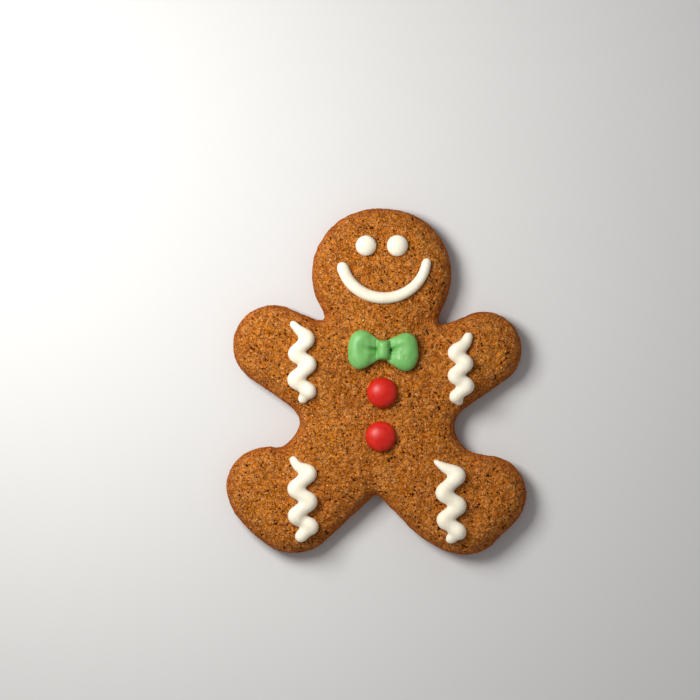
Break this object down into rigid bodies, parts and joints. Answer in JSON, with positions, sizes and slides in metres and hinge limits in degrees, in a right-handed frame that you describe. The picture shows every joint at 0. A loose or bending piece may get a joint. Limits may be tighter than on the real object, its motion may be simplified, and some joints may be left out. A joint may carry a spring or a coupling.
{
  "type": "gingerbread figure biscuit",
  "caption": "Puffy brown gingerbread figure lying face up, with piped white icing face and squiggles, a moulded green sugar bow and round red sugar-shelled buttons.",
  "frame": {"origin": "on the flat underside, in the middle of the figure's box", "axes": "+Z out of the face, +Y to the top of the head, +X to the figure's left hand (the right of the picture)"},
  "size_m": [0.0797, 0.0919, 0.0132],
  "materials": {
    "crust": "baked gingerbread, finely pitted, matt with a faint sheen",
    "icing": "dried ivory-white piped icing, satin",
    "sugar_green": "moulded green sugar paste, satin",
    "candy_red": "polished red sugar shell"
  },
  "bodies": {
    "root": {"biscuit": "crust", "eye_left": "icing", "eye_right": "icing", "smile": "icing", "squiggle_left_arm": "icing", "squiggle_right_arm": "icing", "squiggle_left_leg": "icing", "squiggle_right_leg": "icing", "bow": "sugar_green", "button_upper": "candy_red", "button_lower": "candy_red"}
  },
  "joints": []
}
